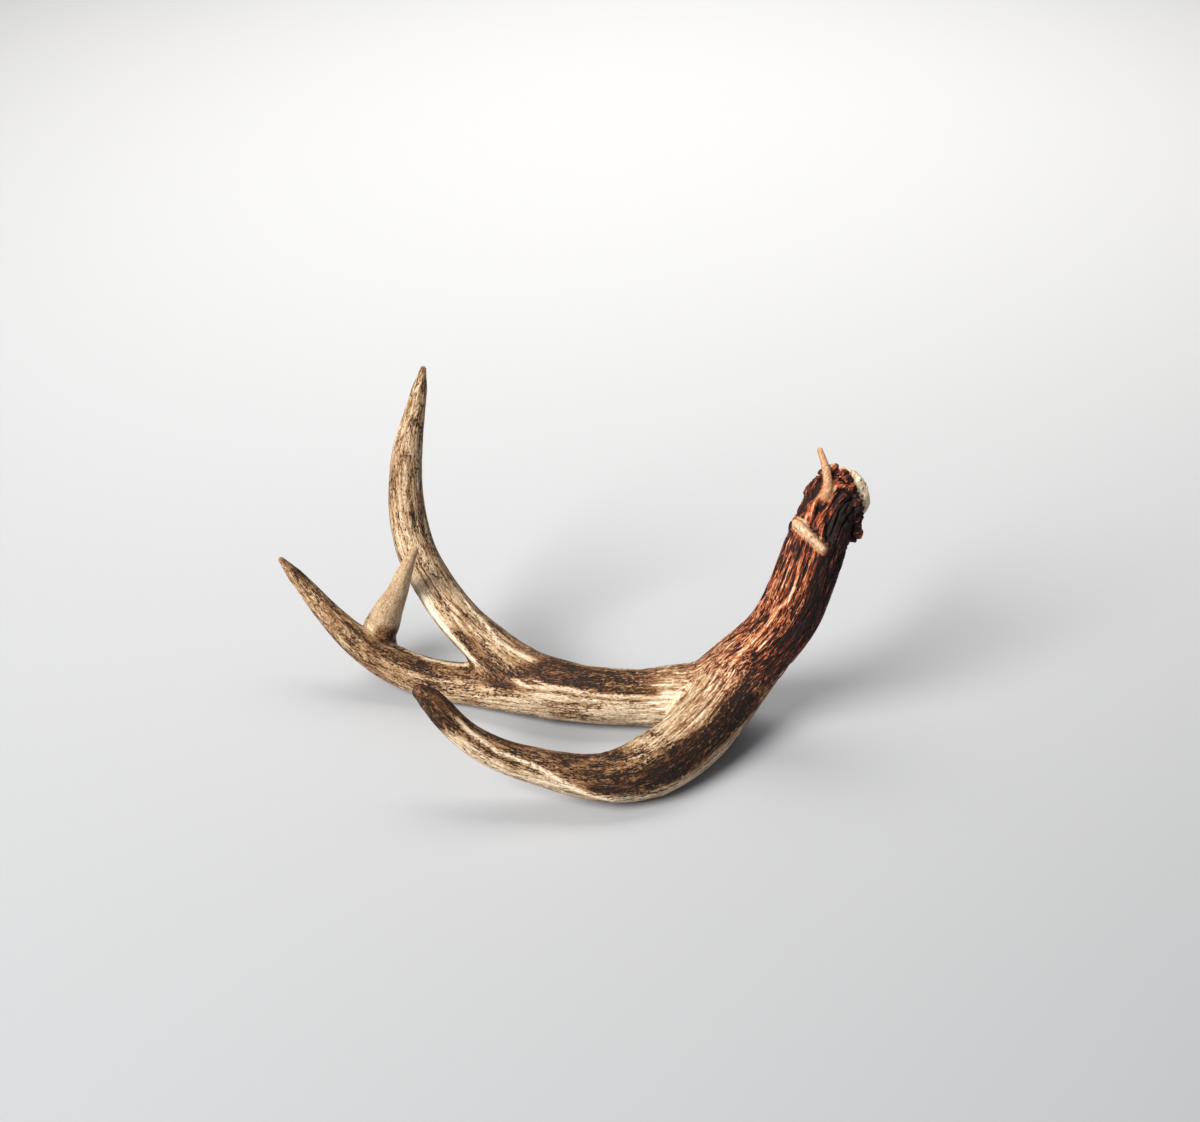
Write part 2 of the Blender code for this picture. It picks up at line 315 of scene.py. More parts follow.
# %% The worn brow stub
STUB_CREST = np.array([
    (133.2, -0.5, 145.8), (135.4, -6.8, 146.2), (140.0, -12.6, 144.0), (146.2, -17.6, 139.6)])
STUB_DOWN = unit(np.array([0.287, 0.766, -0.575]))
STUB_DEPTHS = (0.0, 3.0, 6.0, 9.0)
STUB_WIDENS = np.array([0.0, 0.1, 0.4, 0.9])      # the wall's foot is wider than its crest
STUB_BALLS = 25                                   # in each row
STUB_FIRST_RADIUS, STUB_TAPER = 3.2, 0.035        # the crest narrows from one ball to the next
crest_share = np.linspace(0, len(STUB_CREST) - 1, STUB_BALLS)
crest_points = np.stack([np.interp(crest_share, np.arange(len(STUB_CREST)), STUB_CREST[:, k])
                         for k in range(3)], axis=1)
STUB = np.concatenate([crest_points + depth * STUB_DOWN for depth in STUB_DEPTHS])
STUB_RADIUS = (STUB_WIDENS[:, None] + STUB_FIRST_RADIUS - STUB_TAPER * np.arange(STUB_BALLS)).ravel()
print("balls in the brow stub:", len(STUB))


# %% Balls, joined shapes and meshes
def ball(middle, axes, rows=16, sides=24):
    """The point at (turn, tilt) is middle + sin(tilt) round the first two axes + cos(tilt) third."""
    tilt = np.linspace(0, np.pi, rows + 1)[1:-1, None]
    turn = np.linspace(0, 2 * np.pi, sides, endpoint=False)[None]
    x, y, z = np.sin(tilt) * np.cos(turn), np.sin(tilt) * np.sin(turn), np.cos(tilt) + 0 * turn
    ring = middle + x[..., None] * axes[0] + y[..., None] * axes[1] + z[..., None] * axes[2]
    return closed_grid(ring[::-1], middle - axes[2], middle + axes[2])


def join(shapes):
    """Stacks shapes of (points, quads, triangles) into one, moving their indices along."""
    starts = np.cumsum([0] + [len(shape[0]) for shape in shapes[:-1]])
    return (np.concatenate([shape[0] for shape in shapes]),
            np.concatenate([shape[1] + start for shape, start in zip(shapes, starts)]),
            np.concatenate([shape[2] + start for shape, start in zip(shapes, starts)]))


def new_mesh(name, points, quads, triangles):
    """A mesh filled from arrays with foreach_set."""
    mesh = bpy.data.meshes.new(name)
    corners = np.concatenate([quads.ravel(), triangles.ravel()]).astype(np.int32)
    sizes = np.concatenate([np.full(len(quads), 4), np.full(len(triangles), 3)])
    starts = np.concatenate([[0], np.cumsum(sizes)[:-1]]).astype(np.int32)
    mesh.vertices.add(len(points))
    mesh.vertices.foreach_set("co", points.astype(np.float32).ravel())
    mesh.loops.add(len(corners))
    mesh.loops.foreach_set("vertex_index", corners)
    mesh.polygons.add(len(sizes))
    mesh.polygons.foreach_set("loop_start", starts)
    mesh.update(calc_edges=True)
    return mesh


# %% Fuse the blank
VOXEL = 1.1 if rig.quick() else 0.71
DOME_NET, KNOB_NET = (24, 48), (8, 12)          # rows and sides of the balls


def fused_blank():
    """Points and quads of the branches, dome, knobs and stub, fused by a voxel remesh."""
    dome_middle = BURR_MIDDLE + DOME_SET_OUT * BURR_AXIS + DOME_RAISED * BURR_UP
    dome_axes = (DOME_RADIUS * BURR_SIDE, DOME_RADIUS * BURR_UP, DOME_HEIGHT * BURR_AXIS)
    shapes = [carried_profile(line) for line in BRANCH.values()]
    shapes.append(ball(dome_middle, dome_axes, *DOME_NET))
    for middle, size in zip(np.concatenate([KNOBS, STUB]), np.concatenate([knob_size, STUB_RADIUS])):
        shapes.append(ball(middle, (size * BURR_SIDE, size * BURR_UP, size * BURR_AXIS), *KNOB_NET))
    blank = bpy.data.objects.new("blank", new_mesh("blank", *join(shapes)))
    bpy.context.collection.objects.link(blank)
    fuse = blank.modifiers.new("fuse", "REMESH")
    fuse.mode = "VOXEL"
    fuse.voxel_size = VOXEL
    mesh = blank.evaluated_get(bpy.context.evaluated_depsgraph_get()).to_mesh()
    points = np.empty(len(mesh.vertices) * 3)
    mesh.vertices.foreach_get("co", points)
    faces = np.empty(len(mesh.loops), dtype=np.int32)
    mesh.loops.foreach_get("vertex_index", faces)
    bpy.data.objects.remove(blank)
    return points.reshape(-1, 3), faces.reshape(-1, 4)


def largest_part(points, faces):
    """Keeps the connected body with the most points; each point takes its neighbours' least label."""
    label = np.arange(len(points))
    a, b = faces.ravel(), np.roll(faces, -1, axis=1).ravel()
    while True:
        least = np.minimum(label[a], label[b])
        before = label.copy()
        np.minimum.at(label, a, least)
        np.minimum.at(label, b, least)
        label = label[label]
        if np.array_equal(label, before):
            break
    names, counts = np.unique(label, return_counts=True)
    print("separate bodies in the blank:", sorted(counts.tolist(), reverse=True)[:6])
    kept = label == names[np.argmax(counts)]
    renumber = np.cumsum(kept) - 1
    return points[kept], renumber[faces[kept[faces[:, 0]]]]


skin, quads = largest_part(*fused_blank())
print("blank:", len(skin), "points,", len(quads), "quads")

# %% [markdown]
# ## Where is a point on the antler?
# Relief and stains follow the grain, so every point needs straightened coordinates: how far
# along its branch it is, and where in the cross-section.  The nearest ring is found for all
# points at once; the share between that ring and the next makes the coordinates continuous.

# %% Straightened coordinates
BATCH = 40000          # points compared with the rings at once, to spare memory
TINY = 1e-9


def locate(points, line, flat_start=False):
    """Distance along, offsets wide and thin, and the gap to the branch's oval skin."""
    middle, along = line["middle"], line["along"]
    nearest = np.empty(len(points), dtype=np.int64)
    lengths = (middle ** 2).sum(1)
    for start in range(0, len(points), BATCH):
        part = points[start:start + BATCH]
        nearest[start:start + BATCH] = np.argmin(lengths - 2 * part @ middle.T, axis=1)
    ahead = ((points - middle[nearest]) * along[nearest]).sum(1)
    i = np.clip(np.where(ahead >= 0, nearest, nearest - 1), 0, len(middle) - 2)
    a = ((points - middle[i]) * along[i]).sum(1)
    b = ((middle[i + 1] - points) * along[i + 1]).sum(1)
    t = np.clip(a / np.where(np.abs(a + b) < TINY, TINY, a + b), 0, 1)
    mix = lambda values: values[i] + (values[i + 1] - values[i]) * (t if values.ndim == 1 else t[:, None])
    off = points - mix(middle)
    wide, thin = unit(mix(line["wide"])), unit(mix(line["thin"]))
    x, y = (off * wide).sum(1), (off * thin).sum(1)
    half, share = mix(line["half"]), mix(line["share"])
    round_way = np.hypot(x, y) + TINY
    reach = half / np.sqrt((x / round_way) ** 2 + (y / round_way / share) ** 2)
    distance = np.linalg.norm(off, axis=1)
    if flat_start:
        before = np.maximum(-((points - middle[0]) * along[0]).sum(1), 0)
        gap = np.where(before > 0, np.maximum(round_way - reach, before), distance - reach)
    else:
        gap = distance - reach
    return mix(line["at"]), x, y, gap


def smoothstep(v, low, high):
    """0 up to low, 1 from high on, and an s-curve 3t^2 - 2t^3 between."""
    t = np.clip((v - low) / (high - low), 0, 1)
    return t * t * (3 - 2 * t)


def smooth_least(a, b, reach):
    """The lesser of a and b, rounded where they differ by less than reach."""
    h = np.clip(0.5 + 0.5 * (b - a) / reach, 0, 1)
    return b + (a - b) * h - reach * h * (1 - h)


# %% [markdown]
# ## One smooth skin
# The remesh leaves small steps and sharp creases, and real forks are webbed.  A formula says how
# far any point is from the wanted skin: the least gap to all branches, rounded where two meet.
# The blank's points move along their normals by that gap, a little at a time, and are relaxed
# between moves so that a crotch doesn't fold.

# %% The gap to the wanted skin
AT, WIDE, THIN, GAP = range(4)         # what locate gives, in order
# How far each meeting is rounded: the forks, the small bodies, the knobs and the stub.
FORK_REACH = {"front_tine": 8.0, "tall_tine": 9.0, "short_tine": 3.0}
SMALL_REACH = {"web": 7.0, "sticker": 3.0}
DETAIL_REACH, STUB_REACH = 2.0, 3.0
BURR_ZONE, STUB_ZONE = 40, 35          # beyond these distances knobs and stub play no part
FAR_OFF = 99.0


def stub_gap(points):
    """The plain least gap to the stub's balls: blending them one by one would swell the wall."""
    gap = np.full(len(points), FAR_OFF)
    for middle, size in zip(STUB, STUB_RADIUS):
        gap = np.minimum(gap, np.linalg.norm(points - middle, axis=1) - size)
    return gap


def skin_gap(points):
    """The gap to the fused skin, and each branch's straightened coordinates."""
    found = {name: locate(points, line, name == "beam") for name, line in BRANCH.items()}
    gap = found["beam"][GAP]
    for name, reach in {**FORK_REACH, **SMALL_REACH}.items():
        gap = smooth_least(gap, found[name][GAP], reach)
    near = np.flatnonzero(np.linalg.norm(points - BURR_MIDDLE, axis=1) < BURR_ZONE)
    part = points[near] - BURR_MIDDLE
    offset = part - DOME_SET_OUT * BURR_AXIS - DOME_RAISED * BURR_UP
    local = np.stack([offset @ BURR_SIDE, offset @ BURR_UP, offset @ BURR_AXIS], axis=1)
    stretch = np.linalg.norm(local / [DOME_RADIUS, DOME_RADIUS, DOME_HEIGHT], axis=1) + TINY
    close = smooth_least(gap[near], np.linalg.norm(local, axis=1) * (1 - 1 / stretch), DETAIL_REACH)
    for middle, size in zip(KNOBS - BURR_MIDDLE, knob_size):
        close = smooth_least(close, np.linalg.norm(part - middle, axis=1) - size, DETAIL_REACH)
    gap[near] = close
    near = np.flatnonzero(np.linalg.norm(points - STUB_CREST[2], axis=1) < STUB_ZONE)
    gap[near] = smooth_least(gap[near], stub_gap(points[near]), STUB_REACH)
    return gap, found


def face_cross(points, faces):
    """Twice each quad's area, as a vector: the cross product of its diagonals."""
    return np.cross(points[faces[:, 2]] - points[faces[:, 0]], points[faces[:, 3]] - points[faces[:, 1]])


def point_normals(points, faces):
    """The area-weighted mean of the directions of the faces round each point."""
    cross = face_cross(points, faces)
    total = np.zeros_like(points)
    for axis in range(3):
        total[:, axis] = np.bincount(faces.ravel(), np.repeat(cross[:, axis], faces.shape[1]), len(points))
    return unit(total)


def relax(points, faces, share=0.5):
    """Moves each point by a share of the way to the mean of its neighbours."""
    here, there = faces.ravel(), np.roll(faces, -1, axis=1).ravel()
    total = np.stack([np.bincount(here, points[there, axis], len(points)) for axis in range(3)], axis=1)
    mean = total / np.bincount(here, minlength=len(points))[:, None]
    return points + share * (mean - points)


# %% Pull the blank onto the skin
RELAXED = (4, 4, 3, 2, 1, 0)           # for each pull, how often the skin is relaxed after it
LONGEST_PULL, LAST_PULL = 2.5, 1.0


def pulled(points, longest):
    """Each point moved along its normal by its gap, but never farther than the longest pull."""
    gap = skin_gap(points)[0]
    return points - np.clip(gap, -longest, longest)[:, None] * point_normals(points, quads)


for times in RELAXED:
    skin = pulled(skin, LONGEST_PULL)
    for _ in range(times):
        skin = relax(skin, quads)

# %% [markdown]
# ## Membranes over the pockets
# The deepest crotches keep small pockets that no pull can empty.  A membrane is stretched over
# them: only the points still far from the skin, and a few rings round them, are relaxed.

# %% Stretch the membranes
STUCK = 1.2            # a point farther than this from the skin is in a pocket
RINGS_ROUND_POCKET = 4
MEMBRANE_STEPS, MEMBRANE_SHARE = 120, 0.8
stuck = np.abs(skin_gap(skin)[0]) > STUCK
print("points in pockets:", int(stuck.sum()))
for _ in range(RINGS_ROUND_POCKET):
    stuck = np.bincount(quads.ravel(), stuck[quads].any(axis=1).repeat(4), len(skin)) > 0
for _ in range(MEMBRANE_STEPS):
    skin = np.where(stuck[:, None], relax(skin, quads, MEMBRANE_SHARE), skin)
skin = pulled(skin, LAST_PULL)
normals = point_normals(skin, quads)
gap, found = skin_gap(skin)
print("largest gap left:", round(float(np.abs(gap).max()), 2), "mm")
print("points over 2 mm:", int((np.abs(gap) > 2).sum()))

# %% [markdown]
# ## Grain coordinates and noise
# The beam has one set of grain coordinates and the tines another; at a fork the two mix.  The
# noise is a lattice of random slopes (gradient noise), worked out for all points at once.  In
# straightened coordinates, squeezed along the branch, it gives the long streaks of real bone.

# %% Which branch does a point belong to?
TINES = ("front_tine", "tall_tine", "short_tine")
tine_gaps = np.stack([found[name][GAP] for name in TINES])
which_tine = np.argmin(tine_gaps, axis=0)
pick = lambda k: np.choose(which_tine, [found[name][k] for name in TINES])
tine_at, tine_x, tine_y = pick(AT), pick(WIDE), pick(THIN)
tine_share = smoothstep(found["beam"][GAP] - tine_gaps.min(axis=0), -3.0, 4.0)
beam_at, beam_x, beam_y = found["beam"][:3]
angle_of = lambda x, y: np.degrees(np.arctan2(y, x)) % 360
beam_angle = angle_of(beam_x, beam_y)
print("share of tine skin:", round(float(tine_share.mean()), 2))

# %% Noise for whole arrays
slopes = unit(np.random.default_rng(5).normal(size=(256, 3)))
HASH_X, HASH_Y, HASH_Z = 73856093, 19349663, 83492791     # primes that scramble a corner's number
HASH_SEED, HASH_LAST = 2654435761, 1274126177


def lattice_noise(p, seed=0):
    """Random slopes at whole-number corners, blended between them: about -0.6 to 0.6."""
    cell = np.floor(p).astype(np.int64)
    f = p - cell
    fade = f * f * f * (f * (f * 6 - 15) + 10)
    total = np.zeros(len(p))
    for corner in np.ndindex(2, 2, 2):
        c = cell + corner
        code = (c[:, 0] * HASH_X) ^ (c[:, 1] * HASH_Y) ^ (c[:, 2] * HASH_Z) ^ (seed * HASH_SEED)
        slope = slopes[((code ^ (code >> 13)) * HASH_LAST >> 7) & 255]
        weight = np.prod(np.where(np.array(corner) == 1, fade, 1 - fade), axis=1)
        total += weight * (slope * (f - corner)).sum(1)
    return total


def grain(long, wide, seed):
    """Noise stretched along the branches: cells are `long` mm along and `wide` mm across."""
    on_beam = lattice_noise(np.stack([beam_at / long, beam_x / wide, beam_y / wide], axis=1), seed)
    shifted = tine_at / long + 37.0 * (1 + which_tine)
    on_tine = lattice_noise(np.stack([shifted, tine_x / wide, tine_y / wide], axis=1), seed + 50)
    return on_beam + (on_tine - on_beam) * tine_share


def furrow(noise, width):
    """1 in a narrow channel along the lines where the noise is zero, falling to 0 beside it."""
    return np.exp(-(noise / width) ** 2)


# %% [markdown]
# ## Relief
# Blood vessels in the velvet pressed long furrows into the growing bone.  Near the burr they are
# deep and branching, with pearls between them; towards the tips they fade, because the deer
# polishes its tines.  The furrows are the zero lines of stretched noise.

# %% Furrows and swells
TINE_START = np.array([118.0, 245.0, 345.0])      # where each tine leaves the beam
# How far each point is from the burr, along the beam and then along its tine.
from_base = beam_at * (1 - tine_share) + (TINE_START[which_tine] + tine_at * 0.9) * tine_share
roughness_of_bone = 1 - smoothstep(from_base, 20, 190)
swell = lattice_noise(skin / 26.0, 3) * 1.3 + lattice_noise(skin / 11.0, 4) * 0.5
coarse = grain(40, 5.0, 1) + 0.22 * grain(12, 2.6, 8)
medium = grain(20, 2.1, 2) + 0.20 * grain(6, 1.3, 9)
wriggle = grain(5.5, 2.4, 14) + 0.3 * grain(2.5, 1.4, 15)
channel = furrow(coarse, 0.09)
fine_channel = furrow(medium, 0.10)
wriggle_line = furrow(wriggle, 0.07)
fibre = grain(34, 1.7, 16)
print("furrowed share:", round(float(channel.mean()), 3))

# %% Pearls on the lower beam
pearl_rng = np.random.default_rng(23)
PEARLS = 260
PEARLED, PEARL_RADIUS = 75, 17         # how far up the beam, and the beam's radius there
pearl_at = PEARLED * pearl_rng.random(PEARLS) ** 1.5
pearl_turn = pearl_rng.uniform(0, 360, PEARLS)
pearl_length = pearl_rng.uniform(1.6, 4.2, PEARLS)
pearl_width = pearl_rng.uniform(1.0, 1.7, PEARLS)
pearl = np.zeros(len(skin))
pearly = np.flatnonzero((beam_at < PEARLED + 10) & (tine_share < 0.5))
for at, turn, length, width in zip(pearl_at, pearl_turn, pearl_length, pearl_width):
    around = ((beam_angle[pearly] - turn + 180) % 360 - 180) * np.radians(1) * PEARL_RADIUS
    d2 = ((beam_at[pearly] - at) / length) ** 2 + (around / width) ** 2
    pearl[pearly] = np.maximum(pearl[pearly], np.sqrt(np.clip(1 - d2, 0, 1)))
print("pearled points:", int((pearl > 0).sum()))

# %% [markdown]
# ## Crests
# Some ridges are landmarks: the pale crest that runs from the sticker down the beam, the ridge
# along the middle of the beam, and the keel that splits the front tine into two facets.  Each is
# a line of (distance along, angle round) and rises like a rounded roof.

# %% Raised crests
CRESTS = [
    # branch, (distance, angle) ..., half width mm, height mm, how pale
    ("beam", [(3, 42), (10, 59), (15, 56), (22, 49), (30, 40)], 1.5, 0.9, 0.66),
    ("beam", [(38, 66), (47, 72), (69, 60), (89, 56), (118, 72), (150, 84)], 1.2, 1.0, 0.76),
    ("beam", [(168, 88), (202, 89), (223, 87), (241, 85), (262, 68)], 1.6, 0.9, 0.80),
    ("beam", [(225, 84), (262, 82), (300, 32), (360, 14)], 2.0, 0.7, 0.78),
    ("beam", [(50, 163), (100, 160), (150, 150)], 1.3, 0.7, 0.70),
    ("front_tine", [(128, 152), (147, 128), (163, 100), (178, 86), (195, 76), (212, 62), (233, 57)],
     1.8, 1.2, 0.84),
    ("tall_tine", [(18, 47), (44, 57), (67, 42), (90, 38)], 1.8, 0.7, 0.80),
    ("tall_tine", [(45, 150), (75, 138), (110, 130)], 3.5, 0.5, 0.93),
]
FADES_IN, FADES_OUT = 8, 12            # mm on each side of a crest's first and last point
crest_height = np.zeros(len(skin))
crest_pale = np.zeros(len(skin))
crest_tone = np.zeros(len(skin))
wobble = lattice_noise(skin / 14.0, 31) * 9
for branch, line, half_width, height, pale in CRESTS:
    at, x, y, branch_gap = found[branch]
    knots, turns = np.array(line, dtype=float).T
    away = (angle_of(x, y) - np.interp(at, knots, turns) + wobble + 180) % 360 - 180
    across = np.radians(away) * np.hypot(x, y)
    on = np.exp(-(across / half_width) ** 2)
    on = on * smoothstep(at, knots[0] - FADES_IN, knots[0] + FADES_IN)
    on = on * (1 - smoothstep(at, knots[-1] - FADES_OUT, knots[-1] + FADES_OUT))
    on = on * (1 - smoothstep(branch_gap, 1.5, 4.0))
    crest_height = np.maximum(crest_height, on * height)
    crest_tone = np.where(on > crest_pale, pale, crest_tone)
    crest_pale = np.maximum(crest_pale, on)
print("points on crests:", int((crest_pale > 0.5).sum()))

# %% Where the dome, burr, stub, sticker and ivory are
from_burr = skin - BURR_MIDDLE
past_burr = from_burr @ BURR_AXIS
from_axis = np.linalg.norm(from_burr - past_burr[:, None] * BURR_AXIS - DOME_RAISED * BURR_UP, axis=1)
on_dome = smoothstep(past_burr, 2.0, 4.5) * (1 - smoothstep(from_axis, 15.2, 16.8))
is_burr = (1 - smoothstep(beam_at, 4, 10)) * (1 - on_dome) * (1 - tine_share)
from_crest = np.linalg.norm(skin[:, None] - crest_points[::4], axis=2).min(axis=1)
is_stub = 1 - smoothstep(from_crest, 4.2, 6.4)
is_sticker = (1 - smoothstep(found["sticker"][GAP], 0.2, 1.2)) * smoothstep(found["sticker"][AT], 9, 17)
calm = (1 - 0.85 * on_dome) * (1 - 0.9 * is_stub) * (1 - 0.92 * is_sticker) * (1 - 0.5 * crest_pale)
ivory = smoothstep(found["short_tine"][AT], 24, 34) * (1 - smoothstep(found["short_tine"][GAP], 1.0, 2.5))
calm = calm * (1 - 0.9 * ivory)
by_burr = 1 - smoothstep(beam_at, 20, 45)
print("share of dome:", round(float(on_dome.mean()), 4), "share of stub:", round(float(is_stub.mean()), 4))

# %% Carve the skin
SUNK = 0.6             # taken off everywhere, so that the high places stay close to the solids
LIFTED = 0.3           # where the lowest point is put; the solids' shift then brings it to the floor
PIT_CELL, PIT_FROM = 1.7, 0.16
relief = swell * (0.35 + 0.65 * smoothstep(from_base, 40, 0)) * (1 - 0.7 * is_stub)
furrow_depth = 0.14 + 0.95 * roughness_of_bone + 0.9 * by_burr
relief += calm * (0.9 - channel) * furrow_depth * (1 - smoothstep(from_base, 150, 330) * 0.75)
relief += calm * (0.7 - fine_channel) * (0.08 + 0.42 * roughness_of_bone)
relief += calm * fibre * 0.35
relief += calm * wriggle_line * 0.22 * smoothstep(from_base, 90, 130) * (1 - smoothstep(from_base, 200, 260))
relief += calm * pearl * (1 - smoothstep(beam_at, 16, 50)) * (1 - crest_pale)
relief += crest_height * (1 - is_sticker)
pits = np.clip(lattice_noise(skin / PIT_CELL, 41) - PIT_FROM, 0, 1) * 3.0
relief -= on_dome * pits * 1.3
relief += on_dome * lattice_noise(skin / 6.0, 43) * 1.6
relief += is_burr * lattice_noise(skin / 3.2, 44) * 1.8 * (1 - is_sticker)
to_tip = np.minimum.reduce([BRANCH[name]["at"][-1] - found[name][AT] + 40 * smoothstep(found[name][GAP], 2, 6)
                            for name in ("beam",) + TINES])
relief *= 0.25 + 0.75 * smoothstep(to_tip, 0, 14)
skin += (relief - SUNK)[:, None] * normals
skin[:, 2] -= skin[:, 2].min() - LIFTED
print("relief from", round(float(relief.min()), 2), "to", round(float(relief.max()), 2), "mm")

# %% [markdown]
# ## Stains
# Fresh antler is cream bone.  Bark juice and dried blood stain it: almost black in the furrows,
# where painted shade darkens them further, red-brown on the beam near the burr, tan on the tines.
# Rubbing wears the high places back to cream.  So each point gets a tone from 0, black, to 1, bare
# pale bone.  It comes from the relief, plus broad stains placed along each branch, some partly painted shade.

# %% Broad stains along the branches, some partly painted shade
STAINS_AND_PAINTED_SHADE = [
    # branch, from mm, to mm, from degrees, to degrees, tone, strength, soft edge mm
    ("beam", -10, 30, -180, 180, 0.25, 1.00, 12),
    ("beam", 10, 34, 66, 118, 0.46, 0.95, 5),
    # The burr's right side, turned from the lamp: partly dark stain, partly painted shade.
    ("beam", -12, 14, 100, 190, 0.06, 0.9, 6),
    ("beam", 16, 44, 0, 60, 0.35, 0.9, 7),
    ("beam", 48, 132, -40, 56, 0.45, 0.9, 9),
    ("beam", 25, 85, 60, 102, 0.39, 0.9, 9),
    ("beam", 80, 140, 62, 108, 0.48, 0.9, 12),
    # This row and the next darken the beam's right side, turned from the lamp: partly dark stain, partly painted
    # shade.
    ("beam", 12, 100, 103, 190, 0.08, 0.95, 6),
    ("beam", 92, 150, 106, 190, 0.14, 0.95, 9),
    ("beam", 138, 205, 44, 118, 0.74, 0.95, 12),
    ("beam", 140, 215, -50, 36, 0.44, 0.8, 12),
    ("beam", 205, 320, -50, 50, 0.50, 0.8, 14),
    ("beam", 196, 320, 84, 190, 0.69, 0.85, 8),
    ("beam", 196, 262, 26, 80, 0.25, 0.95, 6),
    ("beam", 300, 420, 30, 80, 0.38, 0.85, 10),
    ("beam", 300, 440, -60, 24, 0.58, 0.8, 9),
    ("beam", 300, 450, 92, 190, 0.58, 0.8, 9),
    ("beam", 442, 462, -40, 60, 0.36, 0.8, 7),
    ("front_tine", 40, 140, 4, 78, 0.62, 0.9, 9),
    ("front_tine", 24, 104, 95, 132, 0.02, 0.98, 7),
    ("front_tine", 90, 142, 86, 114, 0.12, 0.95, 7),
    ("front_tine", 60, 150, 146, 196, 0.68, 0.9, 9),
    ("front_tine", 128, 262, -60, 80, 0.39, 0.9, 10),
    ("front_tine", 150, 250, 125, 200, 0.74, 0.9, 8),
    ("front_tine", 238, 262, -180, 180, 0.26, 0.85, 8),
    ("tall_tine", 30, 160, -50, 40, 0.46, 0.85, 12),
    ("tall_tine", 40, 236, 48, 200, 0.63, 0.85, 12),
    ("tall_tine", 26, 62, 122, 200, 0.36, 0.95, 8),
    ("tall_tine", 219, 226, -180, 180, 0.34, 0.8, 3),
    ("tall_tine", 160, 236, -50, 48, 0.56, 0.8, 12),
    ("tall_tine", 120, 216, 50, 150, 0.61, 0.8, 12),
    ("short_tine", 18, 140, -180, 180, 0.59, 0.95, 6),
    ("short_tine", 26, 46, 20, 70, 0.34, 0.8, 6),
]
tone = np.full(len(skin), 0.52)
edge_wobble = grain(40, 7, 61) * 16
for branch, start, end, low, high, level, strength, soft in STAINS_AND_PAINTED_SHADE:
    at, x, y, branch_gap = found[branch]
    middle_angle, spread = (low + high) / 2, (high - low) / 2
    away = np.abs((angle_of(x, y) - middle_angle + 180) % 360 - 180) - spread
    outside = np.radians(np.maximum(away, 0)) * np.hypot(x, y)
    ahead = np.maximum(np.maximum(start - at, at - end), 0)
    weight = 1 - smoothstep(np.hypot(outside, ahead * 0.5) + edge_wobble * 0.3, 0, soft)
    weight = weight * (1 - smoothstep(branch_gap, 2, 7)) * strength
    tone += (level - tone) * weight
print("mean tone:", round(float(tone.mean()), 2))

# %% Stain and painted shade follow the relief
# Darker in the coarse and fine furrows: partly the stain that sits in them, partly painted shade of the hollows.
furrow_stain_and_shade = channel ** 2 * (0.12 + 0.30 * roughness_of_bone + 0.45 * by_burr) * calm
tone = tone - furrow_stain_and_shade - fine_channel * (0.08 + 0.14 * roughness_of_bone) * calm
tone += (0.84 - tone) * wriggle_line * calm * 0.4 * smoothstep(from_base, 90, 130) * (
    1 - smoothstep(from_base, 200, 260))
tone += fibre * 0.18 * calm
tone += swell * 0.05 + is_burr * 0.10
tone += (crest_tone - tone) * crest_pale * 0.85
tone += pearl * 0.06 * (1 - smoothstep(beam_at, 16, 50))
tone += (0.84 - tone) * on_dome * 0.95
tone -= on_dome * pits * 0.5
tone += (0.57 - tone) * is_sticker * 0.85
tone += (0.65 - tone) * is_stub * 0.9 - is_stub * pits * 0.2
tone = np.clip(tone, 0, 1)
bare = np.maximum.reduce([on_dome, is_stub, 0.75 * is_sticker])
redness = (1 - smoothstep(from_base, 80, 185)) * (1 - 0.75 * bare)
busy = 0.42 + 0.58 * (1 - smoothstep(from_base, 60, 260))
busy = busy * (1 - 0.8 * on_dome) * (1 - 0.9 * is_stub) * (1 - 0.9 * is_sticker)
busy = np.maximum(busy * (1 - 0.4 * crest_pale), 0.08)
# Where the tone is near black, from dark stain and from painted shade; veins are fewer there.
black_stain_and_shade = 1 - smoothstep(tone, 0.06, 0.26)
low_on_beam = 1 - smoothstep(from_base, 110, 210)
veined = (1 - 0.6 * black_stain_and_shade) * (0.12 + 0.88 * low_on_beam) * calm * (1 - 0.8 * by_burr)
print("mean tone with relief:", round(float(tone.mean()), 2))
print("mean redness:", round(float(redness.mean()), 2))

# %% [markdown]
# ## Six pieces
# The antler is one growth, split at its forks so that each part can be used by itself.  The cuts
# are the flat saw cuts of the solids.  Both sides of a cut share their rim points, and their
# shading normals come from the whole antler, so the shading runs on across it.  The dashes need
# not: each material has its own share of them, and seen from behind they stop in a line where the
# short tine begins.

# %% Sort the faces into pieces
CUTS = {
    "mid_beam": ((43, 4, 20), (-1.0, 0.0, 0.05)),
    "front_tine": ((59, -53, 20), (-0.74, -0.66, -0.08)),
    "beam_end": ((-72, 28, 14), (-0.95, 0.28, -0.02)),
    "tall_tine": ((-60, 35, 51), (-0.62, 0.37, 0.69)),
    "short_tine": ((-114.5, 51.5, 49), (0.38, -0.22, 0.90)),
}
PIECES = ["beam_base", "mid_beam", "front_tine", "beam_end", "tall_tine", "short_tine"]


def past_cut(points, name):
    """How far each point lies beyond the named flat cut."""
    place, way = np.array(CUTS[name][0], dtype=float), unit(np.array(CUTS[name][1]))
    return (points - place) @ way


face_middle = skin[quads].mean(axis=1)
main_gaps = np.stack([found[name][GAP] for name in ("beam",) + TINES])
nearest_branch = np.argmin(main_gaps[:, quads].mean(axis=2), axis=0)
piece_of = np.zeros(len(quads), dtype=np.int64)
nearest_is = {name: nearest_branch == k for k, name in enumerate(("beam",) + TINES)}
MAY_HOLD = {"mid_beam": ~nearest_is["front_tine"], "front_tine": nearest_is["front_tine"],
            "beam_end": ~nearest_is["front_tine"], "tall_tine": nearest_is["tall_tine"],
            "short_tine": nearest_is["short_tine"]}
for name, allowed in MAY_HOLD.items():
    piece_of[(past_cut(face_middle, name) > 0) & allowed] = PIECES.index(name)

